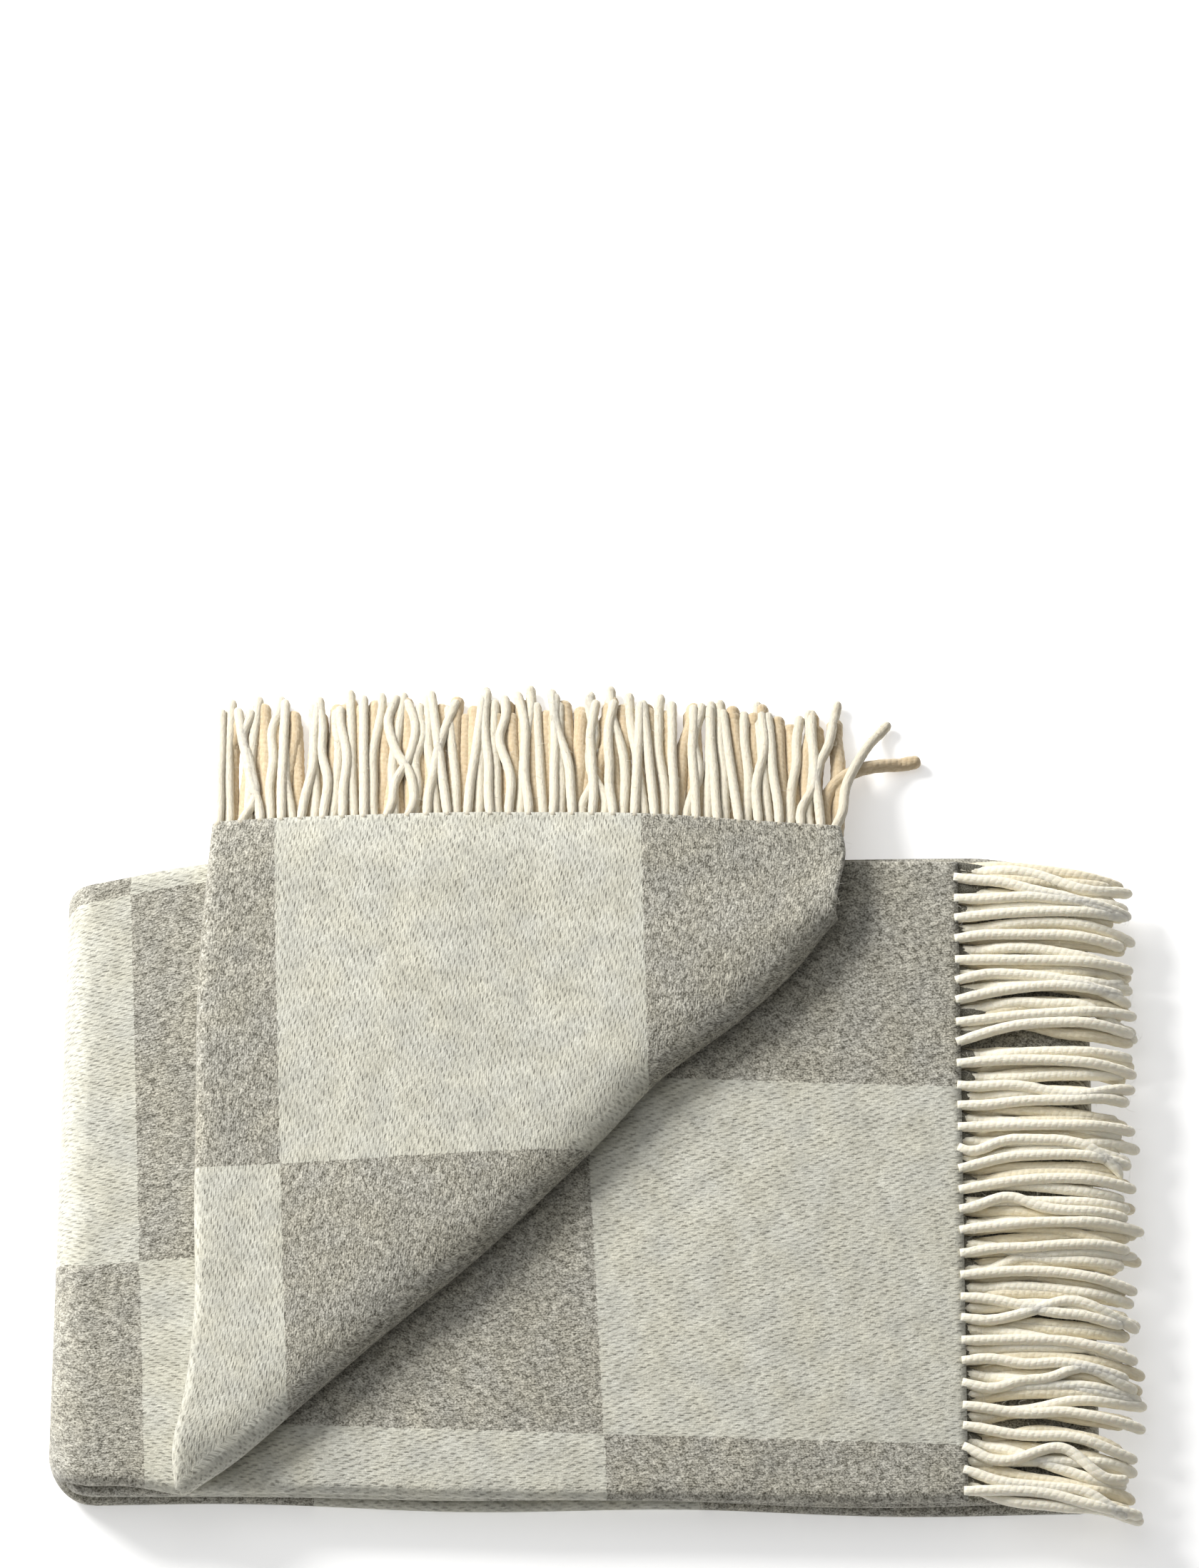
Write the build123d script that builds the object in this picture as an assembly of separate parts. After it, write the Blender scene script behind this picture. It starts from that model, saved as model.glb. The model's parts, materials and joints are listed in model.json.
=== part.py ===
"""Folded throw blanket: one thick woollen double cloth with a twisted fringe at both ends.

The cloth is folded in four across its width, which gives four plies, and in four along its length,
which gives four layers of four plies. The end of the top layer is turned back over a slanting fold.
X runs along the folded length, Y away from the front edge and Z up. The origin is the centre of the
flat underside of the folded stack.
"""

import math
import os

from build123d import *

# Cloth and stack, in millimetres
PLY = 2.4
PLIES = 4
LAYER = PLY * PLIES
LAYER_GAP = 0.3
PLY_GAP = 0.1
WIDTH = 330.0
LENGTH = 509.0
END_LAYER_REACH = 444.5
SELVEDGE_SETBACK = 1.0

# Turned corner
TURN_POINT = (119.0, 116.0)
TURN_ANGLE = 43.5
CORNER_LEFT = -184.0
CORNER_RIGHT = 131.0
CORNER_FRONT = -171.0
CORNER_BACK = 179.0
BACK_EDGE_BREAK = -100.0

# Fringe
STRANDS = 30
STRAND_DIAMETER = 3.6
STRAND_LENGTH = 82.0
ROW_RISE = 1.9
ROW_EDGE = 5.0
ROW_STAGGER = 5.2
CORNER_FRINGE_DROOP = 22.5
CORNER_FRINGE_OFFSET = 2.2

# Fold lines and levels that follow from the sizes above
HALF_GAP = LAYER_GAP / 2
LEFT_FOLD_X = -LENGTH / 2 + 2 * LAYER
LEFT_FOLD_Z = 2 * LAYER
RIGHT_FOLD_X = LENGTH / 2 - LAYER
RIGHT_FOLD_Z = LAYER
END_LAYER_X = -LENGTH / 2 + END_LAYER_REACH
TURN_Z = 4 * LAYER
FRONT = -WIDTH / 2
BACK = WIDTH / 2


def layer_levels(index):
    """Bottom and top of a layer, counted from 0 at the bottom of the stack."""
    bottom = index * LAYER + HALF_GAP if index else 0.0
    return bottom, (index + 1) * LAYER - HALF_GAP


def box_between(across, height):
    """A rectangle in the section plane, from (low, high) pairs across the cloth and up."""
    centre = ((across[0] + across[1]) / 2, (height[0] + height[1]) / 2)
    return Pos(*centre) * Rectangle(across[1] - across[0], height[1] - height[0])


def half_disc(centre, radius, side):
    """A half disc in the section plane, on the low (-1) or high (+1) side of its centre."""
    cutter = Pos(centre[0] + side * radius / 2, centre[1]) * Rectangle(radius, 2 * radius)
    return (Pos(*centre) * Circle(radius)) & cutter


def ply_bands(bottom, top, selvedge_on_top):
    """Height bands of the four plies, in order from the outer selvedge ply to the outer folded ply."""
    step = (top - bottom) / PLIES
    bands = [(bottom + k * step, bottom + (k + 1) * step) for k in range(PLIES)]
    return bands[::-1] if selvedge_on_top else bands


def outer_section(low, high, bottom, top, selvedge_on_top):
    """Outer ply pair: wraps the clean edge, and folds over onto the inner pair at the other edge."""
    step = (top - bottom) / PLIES
    middle = (bottom + top) / 2
    turn = low + 2 * step
    selvedge, _, third, folded = ply_bands(bottom, top, selvedge_on_top)
    wrap = half_disc((turn, middle), 2 * step, -1) - half_disc((turn, middle), step, -1)
    seam = folded[1] if folded[1] == third[0] else folded[0]
    back_roll = half_disc((high - step, seam), step, 1)
    section = wrap + box_between((turn, high - SELVEDGE_SETBACK), selvedge)
    return section + box_between((turn, high - step), folded) + back_roll


def inner_section(low, high, bottom, top):
    """Inner ply pair: a flat doubled ply with one rounded edge, just clear of the outer pair."""
    step = (top - bottom) / PLIES
    middle = (bottom + top) / 2
    turn = low + 2 * step
    half_height = step - PLY_GAP
    flat = box_between((turn, high - step - PLY_GAP), (middle - half_height, middle + half_height))
    return half_disc((turn, middle), half_height, -1) + flat


def along_x(section, start, end):
    """Extrudes a section drawn in (Y, Z) from one X to another."""
    plane = Plane(origin=(start, 0, 0), x_dir=(0, 1, 0), z_dir=(1, 0, 0))
    return extrude(plane * section, end - start)


def along_y(section, start, end):
    """Extrudes a section drawn in (X, Z) from one Y to another."""
    plane = Plane(origin=(0, start, 0), x_dir=(1, 0, 0), z_dir=(0, -1, 0))
    return extrude(plane * section, start - end)


def prism(points, bottom, top):
    """A vertical prism over a closed outline."""
    outline = make_face(Polyline(*points, close=True))
    return extrude(Pos(0, 0, bottom) * outline, top - bottom)


def turn_line_y(x):
    """Y of the slanting fold line at a given X."""
    return TURN_POINT[1] + (x - TURN_POINT[0]) * math.tan(math.radians(TURN_ANGLE))


def turn_line_x(y):
    """X of the slanting fold line at a given Y."""
    return TURN_POINT[0] + (y - TURN_POINT[1]) / math.tan(math.radians(TURN_ANGLE))


def behind_turn_line():
    """A large block on the side of the slanting fold line where the turned corner lies."""
    reach = 2 * LENGTH
    block = Box(2 * reach, reach, reach, align=(Align.CENTER, Align.MIN, Align.CENTER))
    clear = Pos(0, HALF_GAP, 0) * block
    return Pos(*TURN_POINT, 0) * Rot(0, 0, TURN_ANGLE) * clear


def full_layer(index, end_x):
    """Outer and inner ply pairs of a layer that runs from the left fold to an X."""
    bottom, top = layer_levels(index)
    selvedge_on_top = index % 2 == 1
    start = LEFT_FOLD_X + HALF_GAP
    outer = along_x(outer_section(FRONT, BACK, bottom, top, selvedge_on_top), start, end_x)
    inner = along_x(inner_section(FRONT, BACK, bottom, top), start, end_x)
    return outer, inner


def top_layer():
    """Ply pairs of the top layer, which ends at the slanting fold."""
    outline = [
        (LEFT_FOLD_X, FRONT),
        (turn_line_x(FRONT), FRONT),
        (CORNER_RIGHT, turn_line_y(CORNER_RIGHT)),
        (BACK_EDGE_BREAK, BACK),
        (LEFT_FOLD_X, BACK),
    ]
    keep = prism(outline, 3 * LAYER, 4 * LAYER) & behind_turn_line()
    return [pair & keep for pair in full_layer(3, CORNER_RIGHT)]


def turned_corner():
    """Ply pairs of the turned corner, whose rolled edge is on the left."""
    bottom, top = layer_levels(4)
    keep = behind_turn_line()
    outer = outer_section(CORNER_LEFT, CORNER_RIGHT, bottom, top, False)
    inner = inner_section(CORNER_LEFT, CORNER_RIGHT, bottom, top)
    return [along_y(section, CORNER_FRONT, CORNER_BACK) & keep for section in (outer, inner)]


def straight_fold(fold_x, fold_z, inner_radius, outer_radius, side):
    """A half ring of cloth round a fold line that runs along Y."""
    ring = half_disc((fold_x, fold_z), outer_radius, side)
    if inner_radius:
        ring -= half_disc((fold_x, fold_z), inner_radius, side)
    return along_y(ring, FRONT + PLY, BACK - PLY)


def slanting_fold(inner_radius, outer_radius):
    """A half ring of cloth round the slanting fold line, on the side away from the corner."""
    start = (turn_line_x(FRONT), FRONT)
    end = (CORNER_RIGHT, turn_line_y(CORNER_RIGHT))
    length = math.dist(start, end)
    ring = half_disc((0, 0), outer_radius, -1)
    if inner_radius:
        ring -= half_disc((0, 0), inner_radius, -1)
    placed = Pos(*start, TURN_Z) * Rot(0, 0, TURN_ANGLE)
    return placed * along_x(ring, 0, length)


def strand_row(row, low, high, root, length_axis):
    """One ply's row of fringe strands, flat, as a list of separate cylinders."""
    shift = ROW_STAGGER if row % 2 else 0.0
    first = low + ROW_EDGE + shift
    pitch = (high - low - 2 * ROW_EDGE - ROW_STAGGER) / (STRANDS - 1)
    strands = []
    for number in range(STRANDS):
        across = first + number * pitch
        strand = Cylinder(
            STRAND_DIAMETER / 2, STRAND_LENGTH, align=(Align.CENTER, Align.CENTER, Align.MIN)
        )
        if length_axis == "X":
            strands.append(Pos(root, across, 0) * Rot(0, 90, 0) * strand)
        else:
            strands.append(Pos(across, root, 0) * Rot(-90, 0, 0) * strand)
    return strands


def row_height(layer_index, row):
    """Height of the axes of a row of strands inside its layer."""
    return layer_levels(layer_index)[0] + STRAND_DIAMETER / 2 + row * ROW_RISE


def end_fringe(row):
    """A row of the fringe that lies past the end of the third layer."""
    place = Pos(0, 0, row_height(2, row))
    strands = strand_row(row, FRONT, BACK, END_LAYER_X, "X")
    return Compound(children=[place * strand for strand in strands])


def corner_fringe(row):
    """A row of the fringe on the turned corner, which droops past the back edge."""
    hinge = Pos(0, CORNER_BACK + CORNER_FRINGE_OFFSET, sum(layer_levels(4)) / 2)
    rise = row_height(4, row) - sum(layer_levels(4)) / 2
    place = hinge * Rot(-CORNER_FRINGE_DROOP, 0, 0) * Pos(0, 0, rise)
    strands = strand_row(row, CORNER_LEFT, CORNER_RIGHT, 0, "Y")
    return Compound(children=[place * strand for strand in strands])


def build_nodes():
    """All named pieces of the blanket."""
    nodes = {}
    ends = [RIGHT_FOLD_X, RIGHT_FOLD_X, END_LAYER_X]
    for index, end_x in enumerate(ends):
        outer, inner = full_layer(index, end_x)
        nodes[f"layer_{index + 1}_outer_plies"] = outer
        nodes[f"layer_{index + 1}_inner_plies"] = inner
    nodes["layer_4_outer_plies"], nodes["layer_4_inner_plies"] = top_layer()
    nodes["corner_outer_plies"], nodes["corner_inner_plies"] = turned_corner()

    two_plies = 2 * PLY
    for name, inner_radius in (("inner", 0.0), ("outer", two_plies)):
        outer_radius = inner_radius + two_plies - (HALF_GAP if inner_radius else PLY_GAP)
        nodes[f"right_fold_{name}"] = straight_fold(
            RIGHT_FOLD_X, RIGHT_FOLD_Z, inner_radius, outer_radius, 1
        )
        nodes[f"slanting_fold_{name}"] = slanting_fold(inner_radius, outer_radius)
    for number in range(4):
        inner_radius = number * two_plies
        outer_radius = inner_radius + two_plies - (HALF_GAP if number == 3 else PLY_GAP)
        nodes[f"left_fold_wrap_{number + 1}"] = straight_fold(
            LEFT_FOLD_X, LEFT_FOLD_Z, inner_radius, outer_radius, -1
        )

    for row in range(PLIES):
        nodes[f"end_fringe_row_{row + 1}"] = end_fringe(row)
        nodes[f"corner_fringe_row_{row + 1}"] = corner_fringe(row)
    return nodes


os.makedirs("parts", exist_ok=True)
for node_name, shape in build_nodes().items():
    export_step(shape, f"parts/{node_name}.step")
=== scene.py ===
"""Folded wool throw: the looks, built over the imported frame. Lengths are millimetres until a mesh is made."""

import json
import math

import bpy
import numpy as np
from mathutils import Matrix, Vector


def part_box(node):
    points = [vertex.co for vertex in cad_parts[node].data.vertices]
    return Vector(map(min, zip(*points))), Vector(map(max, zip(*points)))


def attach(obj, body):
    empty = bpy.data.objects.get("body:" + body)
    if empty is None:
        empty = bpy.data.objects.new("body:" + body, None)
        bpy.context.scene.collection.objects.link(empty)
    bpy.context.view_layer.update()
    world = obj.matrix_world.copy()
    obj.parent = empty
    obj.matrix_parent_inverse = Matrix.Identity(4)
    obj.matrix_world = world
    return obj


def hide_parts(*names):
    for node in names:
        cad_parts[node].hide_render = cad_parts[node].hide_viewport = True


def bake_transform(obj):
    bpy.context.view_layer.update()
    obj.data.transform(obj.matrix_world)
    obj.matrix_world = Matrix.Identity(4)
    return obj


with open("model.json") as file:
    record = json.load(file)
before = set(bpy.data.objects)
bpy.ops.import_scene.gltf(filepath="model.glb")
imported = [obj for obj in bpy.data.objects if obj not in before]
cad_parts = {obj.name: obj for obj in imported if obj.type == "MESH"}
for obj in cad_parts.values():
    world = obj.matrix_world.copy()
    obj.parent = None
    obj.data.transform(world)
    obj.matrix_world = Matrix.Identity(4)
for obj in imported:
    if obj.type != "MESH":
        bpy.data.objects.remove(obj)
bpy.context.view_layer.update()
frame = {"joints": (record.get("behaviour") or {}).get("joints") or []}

# ---- sizes from the frame

MM = 0.001
PLIES = 4
JOINTS = {joint["name"]: joint for joint in frame["joints"]}


def node_box(name):
    """Lowest and highest corners of a frame node, in millimetres."""
    low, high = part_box(name)
    return np.array(low) / MM, np.array(high) / MM


def joint_point(name):
    """A joint's position, in millimetres."""
    return np.array(JOINTS[name]["pos_m"]) / MM


LOWER_LOW, LOWER_HIGH = node_box("layer_2_outer_plies")
_, THIRD_HIGH = node_box("layer_3_outer_plies")
CORNER_LOW, CORNER_HIGH = node_box("corner_outer_plies")
LEFT_X, _, LEFT_Z = joint_point("upper_half_opens")
LAYER = LEFT_Z / 2
PLY = LAYER / PLIES
RIGHT_X = LOWER_HIGH[0]
FRONT, BACK = LOWER_LOW[1], LOWER_HIGH[1]
WIDTH = BACK - FRONT
END_X = THIRD_HIGH[0]
TURN_POINT = joint_point("corner_unfolds")
TURN_AXIS = np.array(JOINTS["corner_unfolds"]["axis"])
TURN_SLOPE = TURN_AXIS[1] / TURN_AXIS[0]
CORNER_BACK = CORNER_HIGH[1]

# ---- sizes of the visual model

# The cloth: checks, yarns of the weave and the slow unevenness of the stack.
CLOTH_THICKNESS = 0.97  # share of a ply that its cloth fills
CHECK = 186.0
THREAD_PITCH = 1.15
FLOAT_LENGTH = 7.6
TWILL_STEP = 0.36
RELIEF_HEIGHT = 0.75
RELIEF_LENGTH = 95.0
RELIEF_SEED = 7

# The roll along the slanting fold, and the corner turned over it.
FOLD_RUN = 15.0
FOLD_REACH = 0.85
LOWER_ROLL = 0.45  # share of the slanting wrap that lies below its middle
ROLL_PUFF = 0.12
PUFF_PLACE = 26.0
CORNER_INSET = 7.0
FRONT_TIP_OUT = 4.0
FRONT_TIP_LEFT = 6.0
SAG_SLOPE = 0.3

# Strands of the fringe; shares run from a strand's root to its felted tip.
STRANDS = 30
STRAND_LENGTH = 82.0
YARN_RADIUS = 2.95
YARN_TURNS = 13.0
YARN_SIDES = 10
TIP_START = 0.965
TIP_LENGTH = 0.035
STRAND_SHARES = np.concatenate([np.linspace(0, TIP_START, 38), [0.982, 0.994, 1.0]])

# One value for each row of strands, from the bottom ply up.
ROW_STAGGER = (0.72, 0.22, 0.48, 0.0)
END_ROW_LIFT = (0.0, 0.9, 2.2, 5.4)
END_ROW_GIRTH = (1.0, 1.0, 0.95, 0.92)
CORNER_ROW_LENGTH = (0.90, 0.93, 1.0, 1.0)
CORNER_ROW_GIRTH = (1.3, 1.15, 0.86, 0.82)
# Degrees by which single strands of the corner bend aside, by row and number.
STRAY_BENDS = {(2, STRANDS - 1): 42.0, (1, STRANDS - 1): 78.0}

FRINGE_SEED = 29
TUFT_SEED = 31

# Loose fibres on the surface.
FIBRE_STEPS = 6
FIBRE_LOWEST_ROOT = 3.0
FIBRE_RADIUS = 0.07
FIBRE_FLOOR = 0.3
FIBRE_DEPTH = 0.3


# ---- smooth helpers


def smooth(value, start, end):
    """Smooth step from 0 at start to 1 at end."""
    t = np.clip((value - start) / (end - start), 0, 1)
    return t * t * (3 - 2 * t)


def bell(value, centre, width):
    """A bell curve of height 1."""
    return np.exp(-(((value - centre) / width) ** 2))


def ripple(x, y, seed, wavelength):
    """Gentle random relief between about -1 and 1, from a few plane waves."""
    waves = np.random.default_rng(seed)
    total = np.zeros(np.broadcast(x, y).shape)
    for _ in range(7):
        angle = waves.uniform(0, 2 * np.pi)
        length = wavelength * waves.uniform(0.7, 1.6)
        phase = waves.uniform(0, 2 * np.pi)
        total = total + np.sin(2 * np.pi * (x * np.cos(angle) + y * np.sin(angle)) / length + phase)
    return total / 4


# ---- the four-ply section


def arc_points(centre, radius, start_deg, end_deg, count):
    """Points along an arc in the section plane, ends left out."""
    angles = np.radians(np.linspace(start_deg, end_deg, count + 2)[1:-1])
    return np.column_stack([centre[0] + radius * np.cos(angles), centre[1] + radius * np.sin(angles)])


def straight_points(start, end, height, count):
    """Evenly spaced points at one height."""
    return np.column_stack([np.linspace(start, end, count), np.full(count, height)])


def section_line(count):
    """Midline of the cloth in the section: outer selvedge ply, then third, second and first ply.

    Height is 0 at the outer face of the third ply and one layer at the selvedge ply's.
    """
    turn = FRONT + 2 * PLY
    middle = LAYER / 2
    runs = [
        straight_points(BACK - 1.0, turn, 3.5 * PLY, count),
        arc_points((turn, middle), 1.5 * PLY, 90, 270, 7),
        straight_points(turn, BACK - PLY, 0.5 * PLY, count),
        arc_points((BACK - PLY, PLY), 0.5 * PLY, -90, 90, 5),
        straight_points(BACK - PLY, turn, 1.5 * PLY, count),
        arc_points((turn, middle), 0.5 * PLY, 270, 90, 5),
        straight_points(turn, BACK - 2.5, 2.5 * PLY, count),
    ]
    return np.vstack(runs)


def closed_section(count=70):
    """Closed outline of the folded cloth: across, height, distance along the cloth's width and side."""
    line = section_line(count)
    tangent = np.gradient(line, axis=0)
    tangent /= np.linalg.norm(tangent, axis=1)[:, None]
    normal = np.column_stack([tangent[:, 1], -tangent[:, 0]])
    along = np.concatenate([[0], np.cumsum(np.linalg.norm(np.diff(line, axis=0), axis=1))])
    half = CLOTH_THICKNESS / 2 * PLY
    outline = np.vstack([line + half * normal, (line - half * normal)[::-1]])
    distance = np.concatenate([along, along[::-1]])
    side = np.concatenate([np.ones(len(line)), -np.ones(len(line))])
    return {"across": outline[:, 0], "height": outline[:, 1], "along": distance, "side": side}


SECTION = closed_section()


# ---- meshes


def new_mesh(name, points, faces, material, uv_maps):
    """A smooth-shaded mesh object from numpy points (mm) and quads.

    Each named UV map holds a pair for every point, or for every corner of every face.
    """
    mesh = bpy.data.meshes.new(name)
    mesh.vertices.add(len(points))
    mesh.vertices.foreach_set("co", (points * MM).astype(np.float32).ravel())
    mesh.loops.add(faces.size)
    mesh.loops.foreach_set("vertex_index", faces.astype(np.int32).ravel())
    mesh.polygons.add(len(faces))
    mesh.polygons.foreach_set("loop_start", np.arange(0, faces.size, 4, dtype=np.int32))
    mesh.update(calc_edges=True)
    for uv_name, values in uv_maps.items():
        layer = mesh.uv_layers.new(name=uv_name)
        if len(values) == len(points):
            values = values[faces.ravel()]
        layer.data.foreach_set("uv", values.astype(np.float32).ravel())
    mesh.polygons.foreach_set("use_smooth", np.ones(len(faces), dtype=bool))
    mesh.validate()
    mesh.update()
    obj = bpy.data.objects.new(name, mesh)
    bpy.context.scene.collection.objects.link(obj)
    mesh.materials.append(material)
    return obj


def swept_faces(count, size):
    """Quads between rings of points, and across the thin outline at both ends."""
    index = np.arange(size * count).reshape(count, size)
    after = np.roll(index, -1, axis=1)
    walls = np.stack([index[:-1], after[:-1], after[1:], index[1:]], axis=-1).reshape(-1, 4)
    near = np.arange(size // 2 - 1)
    far = size - 1 - near
    first, last = index[0], index[-1]
    start_cap = np.stack([first[near + 1], first[near], first[far], first[far - 1]], axis=-1)
    end_cap = np.stack([last[near], last[near + 1], last[far - 1], last[far]], axis=-1)
    return np.vstack([walls, start_cap, end_cap])


def swept_cloth(name, stations, place, checks, material):
    """Sweeps the closed section through the stations.

    place(section, station) gives the points and how far along the cloth each lies. checks turns the
    distances across and along the cloth, and the points, into check cells.
    """
    rings, lengths = [], []
    for station in stations:
        points, length = place(SECTION, station)
        rings.append(points)
        lengths.append(np.broadcast_to(length, len(points)))
    points = np.vstack(rings)
    along_length = np.concatenate(lengths)
    across_cloth = np.tile(SECTION["along"], len(rings))
    reverse = np.tile(SECTION["side"], len(rings)) < 0
    cell_across, cell_along = checks(across_cloth, along_length, points)
    uvs = {
        "weave": np.column_stack([across_cloth, along_length]) * MM,
        "check": np.column_stack([cell_across, cell_along + reverse]),
    }
    return new_mesh(name, points, swept_faces(len(rings), len(rings[0])), material, uvs)


# ---- where the cloth lies

LOWER_LENGTH = RIGHT_X - LEFT_X
WRAP_LENGTH = np.pi * 1.5 * LAYER
INNER_WRAP_LENGTH = np.pi * LAYER / 2


def rounded_corner(x, corner, radius):
    """How far an edge is drawn in by a rounded corner, for an X that grows away from the corner."""
    inside = np.clip(1 - (x - corner) / radius, 0, 1)
    return radius * (1 - np.sqrt(1 - inside**2))


def front_edge(x):
    """Front edge of the stack, which runs out a little towards the right."""
    straight = FRONT + 1.5 - 5.0 * smooth(x, -250, 200) + 0.8 * np.sin(x / 31.0)
    return straight + 0.8 * rounded_corner(x, -253.0, 24.0)


def back_edge(x):
    """Back edge of the stack, drawn in towards both ends."""
    left = 12.0 * (1 - smooth(x, -262, -170)) + 9.0 * (1 - smooth(x, -262, 60))
    right = 8.0 * smooth(x, 195, 262) + 0.8 * rounded_corner(-x, -254.0, 14.0)
    return BACK - left - right - 0.7 * rounded_corner(x, -250.0, 9.0)


def across_at(across, x, layer=2):
    """Y of a point of the section of one layer, given its nominal place across the cloth."""
    share = (across - FRONT) / WIDTH
    front = front_edge(x) + (0.0, 1.6, -0.6, 1.2, 1.2)[layer] + 0.7 * np.sin(x / 43.0 + 1.7 * layer)
    to_right = smooth(x, -120, 140)
    back = back_edge(x) + (1.5, 2.8, -2.6, -0.5, 0.0)[layer] * to_right + 0.5 * np.sin(x / 37.0 + 2.3 * layer)
    return front + share * (back - front)


def between_layers(across, x, low, high, blend):
    """Y of a point in a wrap that joins two layers."""
    return (1 - blend) * across_at(across, x, low) + blend * across_at(across, x, high)


def relief(x, y, z):
    """Soft unevenness of the whole stack, growing from the floor up."""
    rise = np.clip(z / (4 * LAYER), 0, 1.3)
    return z + rise * RELIEF_HEIGHT * ripple(x, y, RELIEF_SEED, RELIEF_LENGTH)


def stack_point(x, y, z):
    """Stacks coordinates into points, with the relief."""
    x, y, z = np.broadcast_arrays(x, y, z)
    return np.column_stack([x, y, relief(x, y, z)])


def turn_y(x):
    """Y of the slanting fold at an X."""
    return TURN_POINT[1] + (x - TURN_POINT[0]) * TURN_SLOPE


def turn_x(y):
    """X of the slanting fold at a Y."""
    return TURN_POINT[0] + (y - TURN_POINT[1]) / TURN_SLOPE


def turn_line(share):
    """Points of the slanting fold line, from the front (0) to the back (1), with its slow waves."""
    front_y = FRONT - FRONT_TIP_OUT
    front = np.array([turn_x(front_y) - FRONT_TIP_LEFT, front_y])
    back = np.array([CORNER_HIGH[0], turn_y(CORNER_HIGH[0])])
    share = np.asarray(share)[:, None]
    outward = np.array([TURN_AXIS[1], -TURN_AXIS[0]])
    wave = 2.6 * bell(share, 0.43, 0.11) - 4.6 * bell(share, 0.72, 0.08) - 2.2
    return front + share * (back - front) + wave * outward


def third_layer(section, station):
    """Third layer, from the left fold (0) to its fringed end (1)."""
    x = LEFT_X + (END_X - LEFT_X) * station
    y = across_at(section["across"], x, 2)
    return stack_point(x, y, 2 * LAYER + (LAYER - section["height"])), x - LEFT_X


def bottom_layer(section, share):
    """Bottom layer, from the right fold (0) to the left one (1)."""
    x = RIGHT_X + (LEFT_X - RIGHT_X) * share
    y = across_at(section["across"], x, 0)
    return stack_point(x, y, LAYER - section["height"]), LOWER_LENGTH * share


def outer_wrap(section, share):
    """Wrap at the left between the bottom (0) and top (1) layers, a little flattened."""
    turn = np.pi * share
    radius = LAYER + section["height"]
    reach = 0.90 - 0.20 * (section["across"] - FRONT) / WIDTH
    x = LEFT_X - radius * np.sin(turn) * reach
    y = between_layers(section["across"], x, 0, 3, share)
    return stack_point(x, y, LEFT_Z - radius * np.cos(turn)), LOWER_LENGTH + WRAP_LENGTH * share


def top_layer(section, along):
    """Top layer, from the left fold (0) to the slanting one (1)."""
    share = (section["across"] - FRONT) / WIDTH
    start_y = across_at(section["across"], LEFT_X, 3)
    end = turn_line(share)
    x = LEFT_X + (end[:, 0] - LEFT_X) * along
    straight = across_at(section["across"], x, 3)
    slant = start_y + (end[:, 1] - start_y) * along
    y = straight + (slant - straight) * smooth(along, 0.15, 1.0)
    kept = 1 - (1 - tip_depth(share)) * smooth(along, 0.9, 1.0)
    z = 4 * LAYER + (section["height"] - LAYER) * kept
    return stack_point(x, y, z), LOWER_LENGTH + WRAP_LENGTH + (x - LEFT_X)


def left_run(section, station):
    """Bottom layer (stations 0 to 1), outer left wrap (1 to 2) and top layer (2 to 3), as one run."""
    if station <= 1:
        return bottom_layer(section, station)
    if station <= 2:
        return outer_wrap(section, station - 1)
    return top_layer(section, station - 2)


def lower_run(section, station):
    """Second layer and the wrap at the right, down to the bottom layer's end."""
    height = section["height"]
    if station <= 1:
        x = LEFT_X + LOWER_LENGTH * station
        y = across_at(section["across"], x, 1)
        return stack_point(x, y, LAYER + height), x - LEFT_X
    turn = np.pi * (station - 1)
    x = RIGHT_X + height * np.sin(turn)
    blend = station - 1
    y = between_layers(section["across"], x, 1, 0, blend)
    length = LOWER_LENGTH + INNER_WRAP_LENGTH * blend
    return stack_point(x, y, LAYER + height * np.cos(turn)), length


def inner_wrap(section, station):
    """Wrap at the left between the second and third layers."""
    turn = np.pi * station
    radius = LAYER - section["height"]
    x = LEFT_X - radius * np.sin(turn)
    y = between_layers(section["across"], x, 1, 2, station)
    return stack_point(x, y, LEFT_Z - radius * np.cos(turn)), INNER_WRAP_LENGTH * station


def corner_sag(x, y):
    """How far the turned corner settles where less cloth lies under it.

    It grows slowly from the fold, so that the whole corner stays above the plane it turns about.
    """
    beyond_back = smooth(y, BACK - 12, CORNER_BACK + 8)
    unsupported = smooth(x, 10, 125) * smooth(y, 116, 152)
    sag = 4.0 * beyond_back + 7.0 * unsupported - 2.0 * beyond_back * unsupported
    from_fold = np.clip((y - turn_y(x)) * TURN_AXIS[0], 0, None)
    return np.minimum(sag, SAG_SLOPE * from_fold)


def corner_point(x, y, height):
    """A point of the turned corner or its wrap, from its place in plan and its height in the layer."""
    z = 4 * LAYER + height
    points = stack_point(x, y, z)
    points[:, 2] -= corner_sag(points[:, 0], points[:, 1]) * np.clip(height / LAYER + 1, 0.4, 1)
    return points


def corner_edges(share):
    """Where the turned corner starts and ends in plan, for shares across from its rolled edge."""
    start = turn_line(share)
    end_x = CORNER_LOW[0] + CORNER_INSET + share * (CORNER_HIGH[0] - CORNER_LOW[0] - CORNER_INSET)
    end_y = CORNER_BACK - 3.0 + 6.0 * np.sin(np.pi * np.clip(share, 0, 1)) ** 0.8
    return start, end_x, end_y


def roll_reach(share, radius):
    """How far the slanting roll reaches past its fold line; it narrows at both tips."""
    ends = 1 - 0.55 * bell(share, 0.0, 0.05) - 0.75 * bell(share, 1.0, 0.06)
    return radius * FOLD_REACH * ends


def tip_depth(share):
    """How much of its depth the roll keeps: it rounds up at its back tip."""
    return 1 - 0.65 * smooth(share, 0.90, 1.0)


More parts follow.
